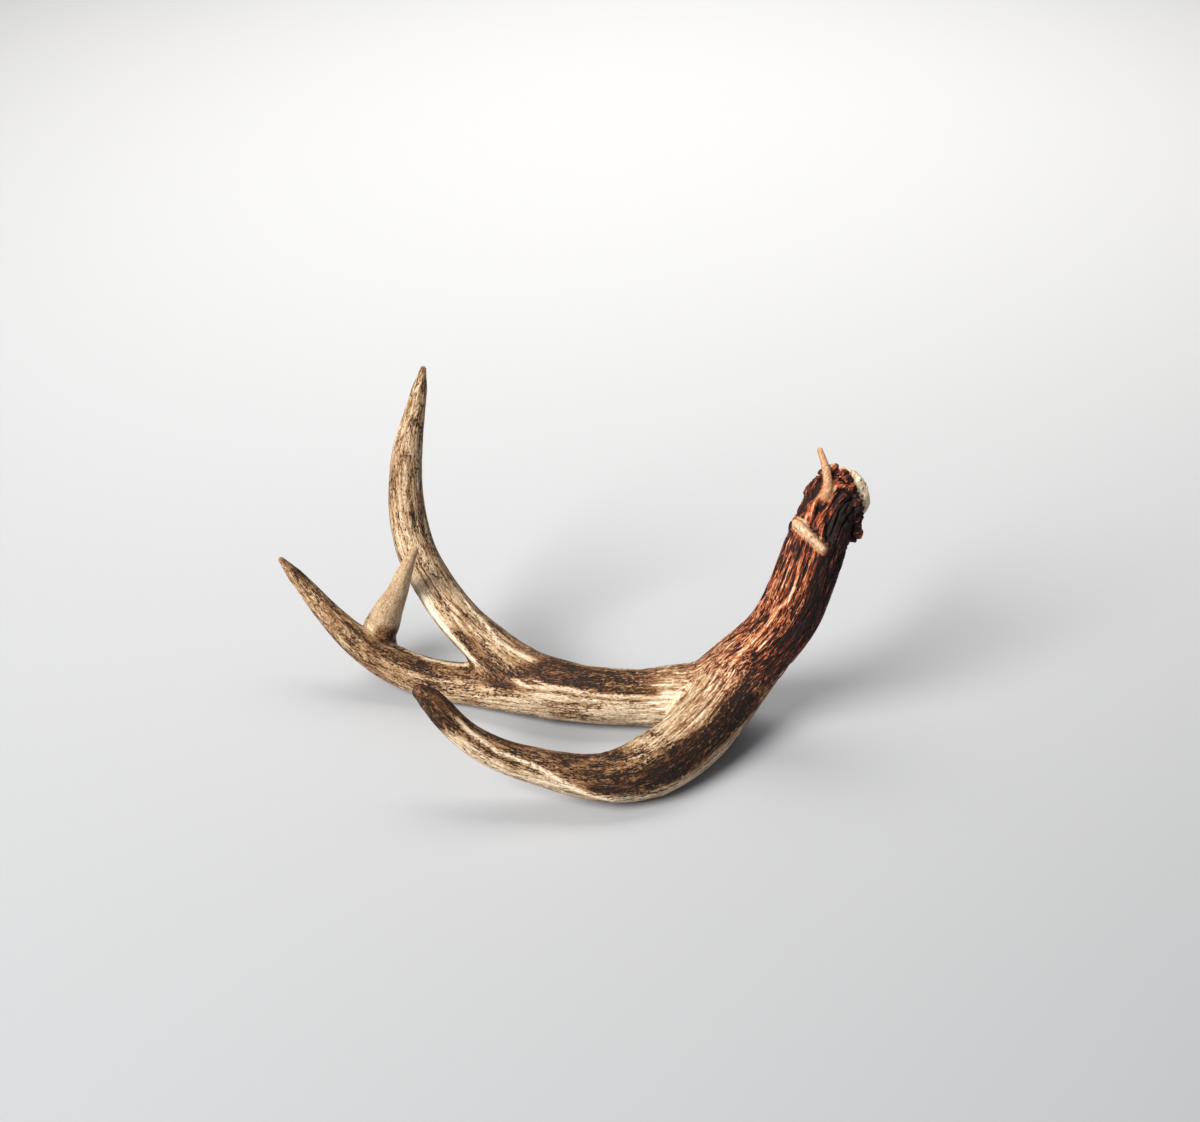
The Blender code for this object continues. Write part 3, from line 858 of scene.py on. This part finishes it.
# A face that mostly touches another piece joins it, so that no stray patch is left beside a cut.
CLEANING_PASSES = 4
for _ in range(CLEANING_PASSES):
    owned = [np.bincount(quads.ravel(), (piece_of == number).repeat(4), len(skin))
             for number in range(len(PIECES))]
    piece_of = np.argmax([count[quads].sum(axis=1) for count in owned], axis=0)
for number, name in enumerate(PIECES):
    print(name, int((piece_of == number).sum() * 2), "triangles")

# %% Build the meshes
final_normals = point_normals(skin, quads)
BETWEEN_TINES = 300    # mm by which the grain of one tine is set apart from the next
CAP_SUNK = 2.0         # the middle of a cut's cap lies this far inside the piece
GRAIN_VECTORS = {
    "grain_beam": np.stack([beam_at, beam_x, beam_y], axis=1) * MM,
    "grain_tine": np.stack([tine_at + BETWEEN_TINES * (1 + which_tine), tine_x, tine_y], axis=1) * MM,
}
GRAIN_VALUES = {"tine_share": tine_share, "tone": tone, "redness": redness, "busy": busy, "veined": veined}
RECENTRE = np.array([0.414, -0.034, 0.252])   # the solids are centred over their own box


def add_values(mesh, used, extra):
    """Puts the grain vectors and values on the points as attributes; cap centres get zeros."""
    for key, values in GRAIN_VECTORS.items():
        layer = mesh.attributes.new(key, "FLOAT_VECTOR", "POINT")
        layer.data.foreach_set("vector", np.concatenate([values[used], np.zeros((extra, 3))]).ravel())
    for key, values in GRAIN_VALUES.items():
        layer = mesh.attributes.new(key, "FLOAT", "POINT")
        layer.data.foreach_set("value", np.concatenate([values[used], np.zeros(extra)]))


def open_rim(faces):
    """The directed edges that no neighbouring face runs back along."""
    edges = np.stack([faces, np.roll(faces, -1, axis=1)], axis=-1).reshape(-1, 2)
    size = len(skin)
    forward, backward = edges[:, 0] * size + edges[:, 1], edges[:, 1] * size + edges[:, 0]
    return edges[~np.isin(forward, backward)]


def make_piece(number, name):
    """One piece: its own faces, and for each cut a fan from the rim to a point a little inside."""
    faces = quads[piece_of == number]
    rim = open_rim(faces)
    centres = np.array([cut[0] for cut in CUTS.values()], dtype=float)
    rim_cut = np.argmin(np.linalg.norm(skin[rim[:, 0]][:, None] - centres, axis=2), axis=1)
    used = np.unique(faces)
    renumber = np.zeros(len(skin), dtype=np.int64)
    renumber[used] = np.arange(len(used))
    inward = skin[used].mean(axis=0)
    caps, hubs = [], []
    for cut in np.unique(rim_cut):
        edges = renumber[rim[rim_cut == cut]]
        hub = skin[rim[rim_cut == cut][:, 0]].mean(axis=0)
        hubs.append(hub + CAP_SUNK * unit(inward - hub))
        hub_index = np.full(len(edges), len(used) + len(hubs) - 1)
        caps.append(np.stack([edges[:, 1], edges[:, 0], hub_index], axis=1))
    points = np.concatenate([skin[used]] + [np.array(hubs)]) - RECENTRE
    mesh = new_mesh(name + "_surface", points * MM, renumber[faces], np.concatenate(caps))
    mesh.polygons.foreach_set("use_smooth", np.ones(len(mesh.polygons), dtype=bool))
    add_values(mesh, used, len(hubs))
    normal = np.concatenate([final_normals[used], np.tile([[0.0, 0.0, 1.0]], (len(hubs), 1))])
    mesh.normals_split_custom_set_from_vertices(normal)
    piece = bpy.data.objects.new(name + "_bone", mesh)
    bpy.context.collection.objects.link(piece)
    return piece


pieces = {name: make_piece(number, name) for number, name in enumerate(PIECES)}
for name, piece in pieces.items():
    print(name, len(piece.data.vertices), "points")

# %% [markdown]
# ## Node groups
# All pieces use the same bone, so the grain, the colours and the sheen are node groups with
# their own inputs.  The grain group reads the straightened coordinates from the points, and
# squeezes a noise along the branch, so the streaks bend with the antler.

# %% A small helper for node groups
def new_group(name, inputs, outputs):
    """A shader node group with named float inputs and named outputs of the given kinds."""
    group = bpy.data.node_groups.new(name, "ShaderNodeTree")
    for title, value in inputs.items():
        made = group.interface.new_socket(title, in_out="INPUT", socket_type="NodeSocketFloat")
        made.default_value = value
    for title, kind in outputs.items():
        group.interface.new_socket(title, in_out="OUTPUT", socket_type=kind)
    return group, group.nodes.new("NodeGroupInput"), group.nodes.new("NodeGroupOutput")


def node(tree, kind, inputs=None, **settings):
    """A new node with its settings; an input is set to a value or linked from another socket."""
    made = tree.nodes.new(kind)
    for key, value in settings.items():
        setattr(made, key, value)
    for key, value in (inputs or {}).items():
        if isinstance(value, bpy.types.NodeSocket):
            tree.links.new(value, made.inputs[key])
        else:
            made.inputs[key].default_value = value
    return made


def maths(tree, operation, a, b=0.0, clamp=False):
    """The result of one Math node."""
    return node(tree, "ShaderNodeMath", {0: a, 1: b}, operation=operation, use_clamp=clamp).outputs[0]


# %% The grain
def grain_group():
    """Noise whose cells are Along metres long and Across metres wide, mixed from beam to tine."""
    group, get, give = new_group("bone grain", {"Along": 0.01, "Across": 0.001, "Detail": 3.0, "Seed": 0.0},
                                 {"Grain": "NodeSocketFloat"})
    share = node(group, "ShaderNodeAttribute", attribute_name="tine_share").outputs["Fac"]
    one_over_along = maths(group, "DIVIDE", 1.0, get.outputs["Along"])
    one_over_across = maths(group, "DIVIDE", 1.0, get.outputs["Across"])
    squeeze = node(group, "ShaderNodeCombineXYZ",
                   {0: one_over_along, 1: one_over_across, 2: one_over_across}).outputs[0]
    values = []
    for layer in ("grain_beam", "grain_tine"):
        place = node(group, "ShaderNodeAttribute", attribute_name=layer).outputs["Vector"]
        scaled = node(group, "ShaderNodeVectorMath", {0: place, 1: squeeze}, operation="MULTIPLY").outputs[0]
        noise = node(group, "ShaderNodeTexNoise", {"Vector": scaled, "W": get.outputs["Seed"], "Scale": 1.0,
                                                    "Detail": get.outputs["Detail"], "Roughness": 0.6},
                     noise_dimensions="4D")
        values.append(noise.outputs["Fac"])
    mixed = node(group, "ShaderNodeMix", {0: share, 2: values[0], 3: values[1]}).outputs[0]
    group.links.new(mixed, give.inputs["Grain"])
    return group


grain_nodes = grain_group()


# %% Veins and cracks
def vein_group():
    """1 on thin lines where the grain noise passes its middle value, 0 beyond Width from it."""
    group, get, give = new_group("bone veins", {"Along": 0.02, "Across": 0.003, "Width": 0.1, "Seed": 0.0},
                                 {"Line": "NodeSocketFloat"})
    values = {"Along": get.outputs["Along"], "Across": get.outputs["Across"],
              "Detail": 2.0, "Seed": get.outputs["Seed"]}
    inner = node(group, "ShaderNodeGroup", values, node_tree=grain_nodes)
    away = maths(group, "ABSOLUTE", maths(group, "SUBTRACT", inner.outputs["Grain"], 0.5))
    near = maths(group, "DIVIDE", away, get.outputs["Width"])
    line = node(group, "ShaderNodeMapRange", {0: near, 1: 0.35, 2: 1.0, 3: 1.0, 4: 0.0}).outputs[0]
    group.links.new(line, give.inputs["Line"])
    return group


# %% The colours of stain, bare bone and painted shade
RED_RAMP = [(0.00, (0.006, 0.003, 0.002)), (0.14, (0.020, 0.005, 0.003)), (0.28, (0.125, 0.021, 0.008)),
            (0.42, (0.31, 0.062, 0.018)), (0.58, (0.46, 0.175, 0.070)), (0.76, (0.78, 0.57, 0.36)),
            (1.00, (0.95, 0.86, 0.71))]
TAN_RAMP = [(0.00, (0.012, 0.007, 0.004)), (0.16, (0.042, 0.017, 0.008)), (0.30, (0.13, 0.052, 0.020)),
            (0.46, (0.26, 0.145, 0.066)), (0.62, (0.47, 0.345, 0.215)), (0.78, (0.70, 0.58, 0.43)),
            (1.00, (0.95, 0.87, 0.73))]


def ramp(tree, value, stops):
    """A colour ramp through the stops, each a place from 0 to 1 and a colour."""
    made = node(tree, "ShaderNodeValToRGB", {"Fac": value})
    made.color_ramp.elements[1].position = 1.0
    while len(made.color_ramp.elements) < len(stops):
        made.color_ramp.elements.new(0.5)
    for element, (place, colour) in zip(made.color_ramp.elements, stops):
        element.position = place
        element.color = (*colour, 1.0)
    return made.outputs["Color"]


def colour_group():
    """The colour of bone for a tone from 0, black, to 1, pale; red near the burr, tan on tines."""
    group, get, give = new_group("bone colour", {"Tone": 0.5}, {"Colour": "NodeSocketColor"})
    red = node(group, "ShaderNodeAttribute", attribute_name="redness").outputs["Fac"]
    warm, cool = ramp(group, get.outputs["Tone"], RED_RAMP), ramp(group, get.outputs["Tone"], TAN_RAMP)
    mixed = node(group, "ShaderNodeMix", {0: red, 6: cool, 7: warm}, data_type="RGBA").outputs[2]
    group.links.new(mixed, give.inputs["Colour"])
    return group


vein_nodes, colour_nodes = vein_group(), colour_group()
print("node groups:", [group.name for group in bpy.data.node_groups])

# %% [markdown]
# ## The bone
# Real bone is streaked at several scales: long fibres, short dark dashes where stain sits in
# pores, and fine stipple.  Pale veins and dark cracks wander over the red lower beam.  Each is a
# mask from the grain groups; together they shift the tone that the points carry, and the shifted
# tone picks the colour and the roughness.  Old antler is dry, so it hardly shines.

# %% The bone materials
def bone(name, fibre_share, dash_share, gloss, bump):
    """Tone from the points, sharpened by long fibres, short dark dashes and stipple, then coloured."""
    material = bpy.data.materials.new(name)
    material.use_nodes = True
    tree = material.node_tree
    shader = tree.nodes["Principled BSDF"]
    base = node(tree, "ShaderNodeAttribute", attribute_name="tone").outputs["Fac"]
    busy_here = node(tree, "ShaderNodeAttribute", attribute_name="busy").outputs["Fac"]

    def streaks(along, across, detail, seed):
        values = {"Along": along, "Across": across, "Detail": detail, "Seed": seed}
        return node(tree, "ShaderNodeGroup", values, node_tree=grain_nodes).outputs["Grain"]

    def between(value, low, high, to_low=0.0, to_high=1.0):
        return node(tree, "ShaderNodeMapRange", {0: value, 1: low, 2: high, 3: to_low, 4: to_high}).outputs[0]

    def threads_of(along, across, width, seed):
        values = {"Along": along, "Across": across, "Width": width, "Seed": seed}
        return node(tree, "ShaderNodeGroup", values, node_tree=vein_nodes).outputs["Line"]

    def add(a, b, clamp=False):
        return maths(tree, "ADD", a, b, clamp)

    def less(a, b):
        return maths(tree, "SUBTRACT", a, b)

    def times(a, b):
        return maths(tree, "MULTIPLY", a, b)

    veined_here = node(tree, "ShaderNodeAttribute", attribute_name="veined").outputs["Fac"]
    vein = times(threads_of(0.016, 0.0026, 0.030, 7.0), veined_here)
    crack = times(threads_of(0.022, 0.0026, 0.040, 8.0), veined_here)
    fibres = between(streaks(0.030, 0.0015, 3.0, 1.0), 0.38, 0.62, -0.5, 0.5)
    threads = between(streaks(0.012, 0.0008, 2.0, 2.0), 0.42, 0.60, -0.55, 0.45)
    stipple = between(streaks(0.0018, 0.0010, 2.0, 3.0), 0.34, 0.66, -0.5, 0.5)
    patch = between(streaks(0.022, 0.0070, 1.0, 5.0), 0.35, 0.65, -0.05, 0.06)
    dash_noise = add(streaks(0.0032, 0.0007, 3.0, 4.0), patch)
    dash = between(less(dash_noise, between(base, 0.3, 0.9, 0.50, 0.61)), 0.0, 0.04)
    pore_noise = add(streaks(0.0016, 0.0011, 1.0, 6.0), patch)
    pore = between(less(pore_noise, between(base, 0.3, 0.9, 0.60, 0.70)), 0.0, 0.03)
    lines = times(add(times(fibres, fibre_share), times(threads, fibre_share)), busy_here)
    dark = add(times(dash, dash_share), times(pore, dash_share * 1.2))
    dark = times(dark, between(busy_here, 0.05, 0.4, 0.1, 1.0))
    detail = less(add(lines, times(stipple, 0.18)), dark)
    cracked = less(detail, times(crack, 0.34))
    stained = add(base, cracked, clamp=True)
    lifted = times(less(0.72, stained), times(vein, 0.75))
    final = add(stained, maths(tree, "MAXIMUM", lifted, 0.0), clamp=True)
    tint = node(tree, "ShaderNodeGroup", {"Tone": final}, node_tree=colour_nodes).outputs[0]
    tree.links.new(tint, shader.inputs["Base Color"])
    shader.inputs["Specular IOR Level"].default_value = 0.22    # dry bone hardly shines
    tree.links.new(between(final, 0.1, 0.9, 0.70, gloss), shader.inputs["Roughness"])
    raised = add(cracked, times(vein, 0.4))
    height = node(tree, "ShaderNodeBump", {"Height": raised, "Strength": bump, "Distance": 0.0006})
    tree.links.new(height.outputs[0], shader.inputs["Normal"])
    return material


BONES = {
    "base_bone": bone("base bone", 0.32, 0.08, 0.42, 0.8),
    "beam_bone": bone("beam bone", 0.22, 0.34, 0.42, 0.8),
    "tine_bone": bone("tine bone", 0.22, 0.38, 0.42, 0.8),
    "ivory_bone": bone("ivory bone", 0.16, 0.05, 0.38, 0.4),
}
SLOT_OF = {"beam_base": "base_bone", "mid_beam": "beam_bone", "beam_end": "beam_bone",
           "front_tine": "tine_bone", "tall_tine": "tine_bone", "short_tine": "ivory_bone"}
for name, piece in pieces.items():
    piece.data.materials.append(BONES[SLOT_OF[name]])
    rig.ride(piece, "root")
    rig.replaces(piece, name)
    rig.slot(piece, SLOT_OF[name])
print("materials:", list(BONES))

# %% [markdown]
# ## Floor, light and camera
# The floor is one pale sheet that curves up far behind, so no corner shows.  One large soft lamp
# stands to the left, a second one lights the floor behind the antler, and the world gives a pale
# fill.

# %% The floor
def sweep(width=8.0, front=-3.0, back=2.2, radius=1.2, height=2.5):
    """A profile (flat, quarter circle, wall) carried straight along X."""
    turn = np.linspace(0, np.pi / 2, 24)
    profile = np.concatenate([[[front, 0.0]],
                              np.stack([back + radius * np.sin(turn), radius * (1 - np.cos(turn))], axis=1),
                              [[back + radius, radius + height]]])
    across = np.linspace(-width / 2, width / 2, 2)
    grid = np.zeros((len(profile), 2, 3))
    grid[..., 0] = across
    grid[..., 1:] = profile[:, None]
    index = np.arange(grid.shape[0] * 2).reshape(-1, 2)
    walls = np.stack([index[:-1, 0], index[:-1, 1], index[1:, 1], index[1:, 0]], axis=-1)
    mesh = new_mesh("floor", grid.reshape(-1, 3), walls, np.zeros((0, 3), dtype=int))
    mesh.polygons.foreach_set("use_smooth", np.ones(len(mesh.polygons), dtype=bool))
    floor = bpy.data.objects.new("floor", mesh)
    bpy.context.collection.objects.link(floor)
    paint = bpy.data.materials.new("floor paper")
    paint.use_nodes = True
    shader = paint.node_tree.nodes["Principled BSDF"]
    shader.inputs["Base Color"].default_value = (0.385, 0.398, 0.418, 1.0)
    shader.inputs["Roughness"].default_value = 0.6
    mesh.materials.append(paint)
    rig.stage(floor)


sweep()
print("floor ready")

# %% The lights
def lamp(name, place, target, size, watts, colour, spread):
    """A round area lamp that looks from its place towards the target."""
    data = bpy.data.lights.new(name, "AREA")
    data.shape, data.size, data.energy, data.color = "DISK", size, watts, colour
    data.spread = math.radians(spread)
    made = bpy.data.objects.new(name, data)
    made.location = place
    toward = np.array(target) - np.array(place)
    tip = math.acos(-toward[2] / np.linalg.norm(toward))
    made.rotation_euler = (tip, 0, math.atan2(toward[1], toward[0]) - math.pi / 2)
    bpy.context.collection.objects.link(made)


lamp("window", (-1.65, -1.45, 1.85), (0.0, 0.3, 0.05), 1.5, 58, (1.0, 0.968, 0.925), 110)
lamp("back glow", (0.1, 1.5, 1.6), (0.15, 1.65, 0.0), 2.8, 40, (1.0, 0.945, 0.87), 95)
world = bpy.data.worlds.new("studio")
world.use_nodes = True
world.node_tree.nodes["Background"].inputs["Color"].default_value = (0.86, 0.92, 1.0, 1.0)
world.node_tree.nodes["Background"].inputs["Strength"].default_value = 0.24
bpy.context.scene.world = world
bpy.context.scene.view_settings.view_transform = "Standard"
print("lamps:", len(bpy.data.lights))

# %% The camera
CAMERA_PLACE, CAMERA_TILT = (0.02096, -0.80559, 0.62315), 58     # metres, and degrees from straight down
camera_data = bpy.data.cameras.new("camera")
camera_data.sensor_width, camera_data.lens = 36.0, 49.5
camera = bpy.data.objects.new("camera", camera_data)
camera.location = CAMERA_PLACE
camera.rotation_euler = (math.radians(CAMERA_TILT), 0, 0)
bpy.context.collection.objects.link(camera)
bpy.context.scene.camera = camera
print("camera at", CAMERA_PLACE)

# %% Keep the sizes and finish
with open("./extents.json", "w") as sizes:
    json.dump({"cad": [list(corner) for corner in cad_box],
               "visual": [list(corner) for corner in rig.bounds()]}, sizes)
print(open("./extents.json").read())
